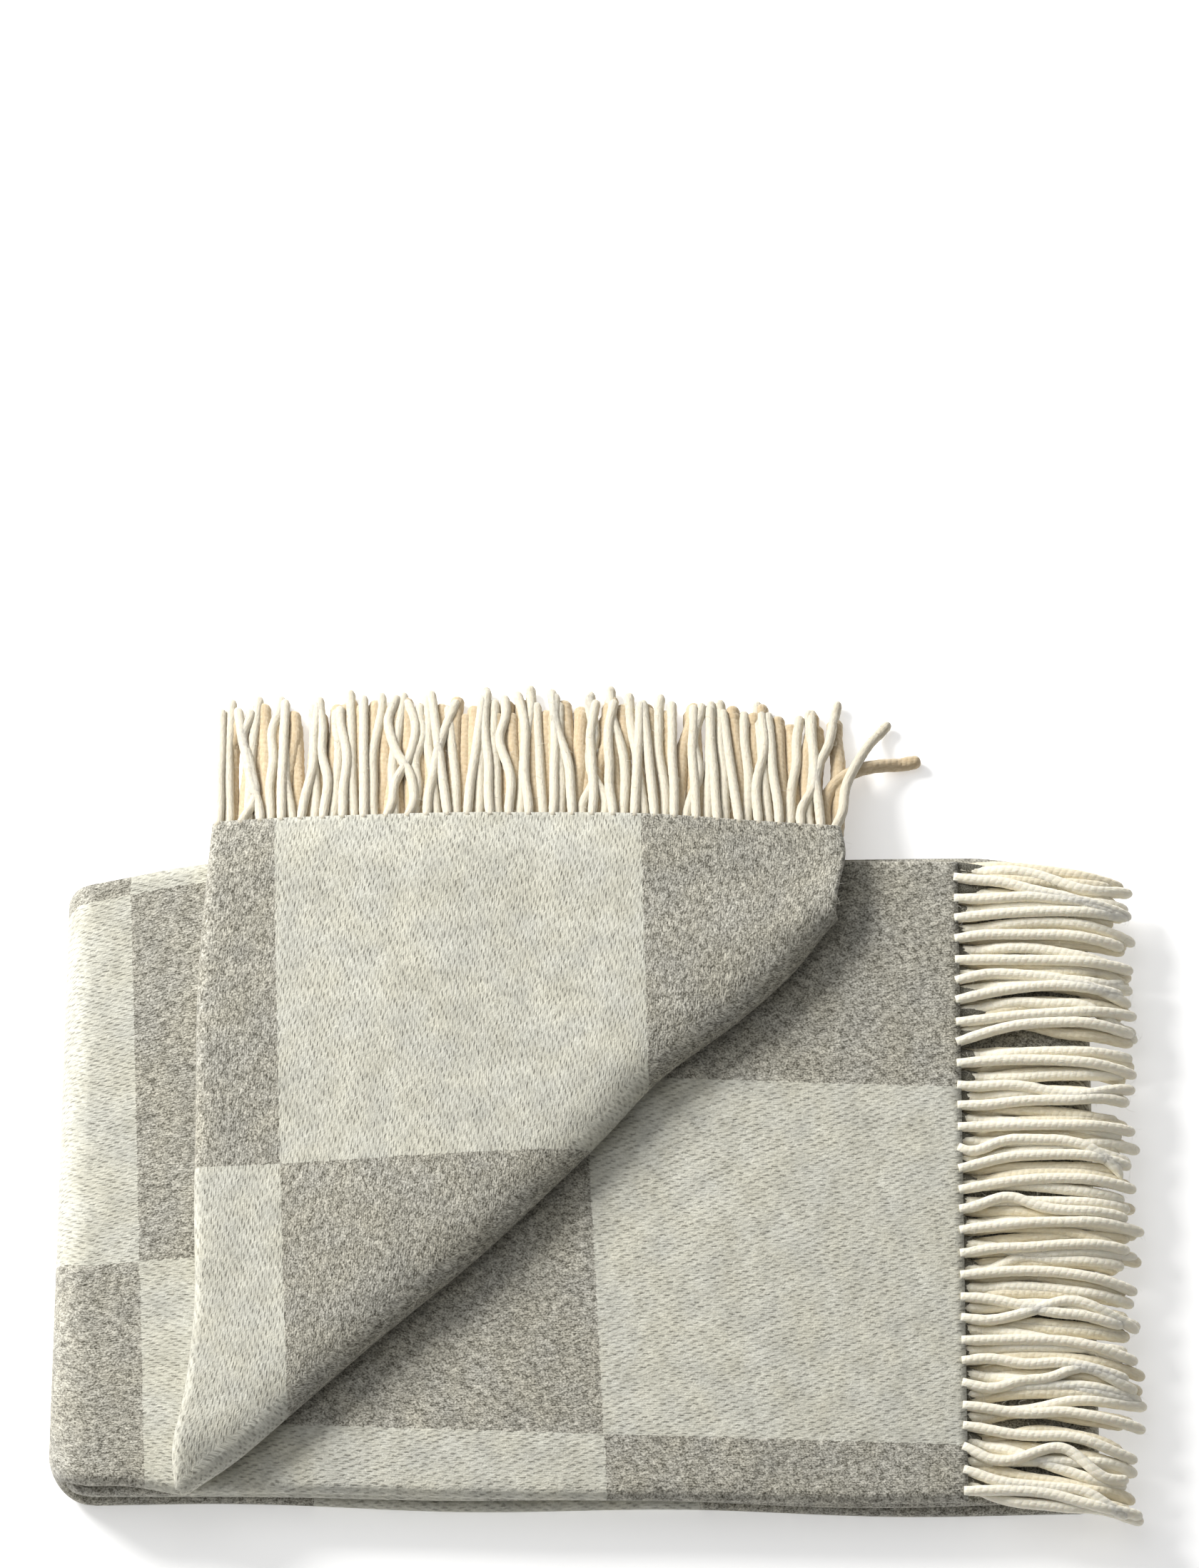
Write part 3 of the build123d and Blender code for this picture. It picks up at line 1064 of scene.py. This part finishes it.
def hair_faces(hairs):
    """Walls and square ends of every hair's four-sided tube."""
    index = np.arange(FIBRE_STEPS * 4).reshape(FIBRE_STEPS, 4)
    after = np.roll(index, -1, axis=1)
    walls = np.stack([index[:-1], index[1:], after[1:], after[:-1]], axis=-1).reshape(-1, 4)
    faces = np.vstack([walls, index[:1], index[-1:, ::-1]])
    all_faces = (np.arange(hairs) * FIBRE_STEPS * 4)[:, None, None] + faces[None]
    return all_faces.reshape(-1, 4)


def fibre_piece(name, pieces, count, seed, material):
    """One mesh of stray hairs over some pieces, each a thin tube that narrows to its tip."""
    share = count // len(pieces)
    paths = np.vstack([fibre_paths(piece, share, seed + k) for k, piece in enumerate(pieces)])
    tangent = np.gradient(paths, axis=1)
    tangent /= np.linalg.norm(tangent, axis=2)[..., None]
    side = np.cross(tangent, np.array([0.3, 0.5, 0.8]))
    side /= np.linalg.norm(side, axis=2)[..., None]
    up = np.cross(side, tangent)
    half = FIBRE_RADIUS * np.linspace(1.0, 0.5, FIBRE_STEPS)[None, :, None, None]
    corners = np.stack([side, up, -side, -up], axis=2) * half
    points = (paths[:, :, None, :] + corners).reshape(-1, 3)
    spots = np.repeat(np.arange(len(paths)) * 0.004, FIBRE_STEPS * 4)
    uvs = {"weave": np.column_stack([spots, spots])}
    return new_mesh(name, points, hair_faces(len(paths)), material, uvs)


def hair_material():
    """Pale single wool fibres."""
    material, tree, shader = new_material("wool_fibre")
    grain = noise(tree, scaled_uv(tree, uv_map(tree, "weave"), (900, 900)))
    tone = ramp(tree, grain, [(0.3, 0.0), (0.7, 1.0)])
    base = mix_color(tree, tone, (0.42, 0.40, 0.33, 1), (0.80, 0.78, 0.70, 1))
    tree.links.new(base, shader.inputs["Base Color"])
    set_inputs(shader, Roughness=0.8, Specular_IOR_Level=0.2)
    return material


HAIR = hair_material()
fibres = {
    "outer": fibre_piece("fibres_outer_run", [cloth["outer"]], 1600, 61, HAIR),
    "lower": fibre_piece("fibres_lower_run", [cloth["lower"]], 700, 62, HAIR),
    "third": fibre_piece("fibres_third_layer", [cloth["third"]], 1600, 63, HAIR),
    "corner": fibre_piece("fibres_turned_corner", [cloth["corner"]], 2600, 64, HAIR),
    "end": fibre_piece("fibres_end_fringe", [*fringe["end"][2:], tufts], 1500, 65, HAIR),
    "corner_end": fibre_piece("fibres_corner_fringe", fringe["corner"][2:], 1200, 69, HAIR),
}


# ---- bodies


def blend_left(piece):
    """Bakes a piece's placement into its mesh."""
    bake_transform(piece)


def blend_folds():
    """Bakes the placement of the pieces at the left fold and at the slanting one."""
    for piece in (cloth["outer"], fibres["outer"]):
        blend_left(piece)
    blend_left(cloth["wrap"])
    for piece in (cloth["corner"], fibres["corner"]):
        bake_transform(piece)


def ride_bodies():
    """Puts every piece that does not bend on its body."""
    riders = {
        "lower_half": [cloth["lower"], fibres["lower"]],
        "upper_half": [cloth["third"], *fringe["end"], tufts, fibres["third"], fibres["end"]],
        "corner_fringe": [*fringe["corner"], fibres["corner_end"]],
    }
    for body, pieces in riders.items():
        for piece in pieces:
            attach(piece, body)


def replace_nodes():
    """Hides the solids that the pieces stand for."""
    layer_nodes = {k: [f"layer_{k}_outer_plies", f"layer_{k}_inner_plies"] for k in (1, 2, 3, 4)}
    corner_nodes = ["slanting_fold_inner", "slanting_fold_outer", "corner_outer_plies", "corner_inner_plies"]
    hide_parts(*layer_nodes[1], *layer_nodes[4], "left_fold_wrap_3", "left_fold_wrap_4")
    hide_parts(*layer_nodes[2], "right_fold_inner", "right_fold_outer")
    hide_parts("left_fold_wrap_1", "left_fold_wrap_2")
    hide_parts(*layer_nodes[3])
    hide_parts(*corner_nodes)
    for side, pieces in fringe.items():
        for number, piece in enumerate(pieces):
            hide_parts(f"{side}_fringe_row_{number + 1}")


blend_folds()
ride_bodies()
replace_nodes()


# ---- floor, light and camera


def build_floor():
    """A plain pale floor just under the blanket."""
    bpy.ops.mesh.primitive_plane_add(size=6.0, location=(0, 0, -0.0004))
    floor = bpy.context.object
    floor.name = "floor"
    material, _, shader = new_material("pale_floor")
    set_inputs(shader, Base_Color=(0.93, 0.93, 0.93, 1), Roughness=0.9)
    set_inputs(shader, Emission_Color=(1, 1, 1, 1), Emission_Strength=0.4)
    floor.data.materials.append(material)


def area_light(name, location, size, power, color=(1, 1, 1)):
    """A soft lamp aimed at the blanket."""
    data = bpy.data.lights.new(name, "AREA")
    data.shape = "DISK"
    data.size = size
    data.energy = power
    data.color = color
    lamp = bpy.data.objects.new(name, data)
    lamp.location = location
    lamp.rotation_mode = "QUATERNION"
    lamp.rotation_quaternion = (-Vector(location)).to_track_quat("-Z", "Y")
    bpy.context.scene.collection.objects.link(lamp)


def build_light():
    """Soft window-like light from the upper left, over a pale surround."""
    area_light("key_light", (-1.65, 1.3, 1.25), 1.1, 96.0, (1.0, 0.99, 0.97))
    area_light("top_light", (-0.9, 0.6, 2.6), 2.4, 18.0)
    world = bpy.data.worlds.new("surround")
    world.use_nodes = True
    background = world.node_tree.nodes["Background"]
    background.inputs[0].default_value = (1.0, 1.0, 1.0, 1)
    background.inputs[1].default_value = 0.22
    bpy.context.scene.world = world


def build_camera():
    """A long lens high above the front; the blanket sits low in the frame. Sizes in metres."""
    elevation = math.radians(70.0)
    distance = 4.5
    frame_height = 0.76895
    data = bpy.data.cameras.new("camera")
    data.sensor_width = 36.0
    data.lens = distance / frame_height * data.sensor_width
    camera = bpy.data.objects.new("camera", data)
    back = Vector((0, -math.cos(elevation), math.sin(elevation)))
    camera.location = back * distance
    aim = (-back).to_track_quat("-Z", "Y").to_matrix()
    rise = 0.1988 / distance
    slide = 0.013125 / distance
    turn = Matrix.Rotation(rise, 3, "X") @ Matrix.Rotation(-slide, 3, "Y")
    camera.rotation_mode = "QUATERNION"
    camera.rotation_quaternion = (aim @ turn).to_quaternion()
    data.clip_end = 30.0
    bpy.context.scene.collection.objects.link(camera)
    bpy.context.scene.camera = camera


build_floor()
build_light()
build_camera()
bpy.context.scene.view_settings.view_transform = "Standard"
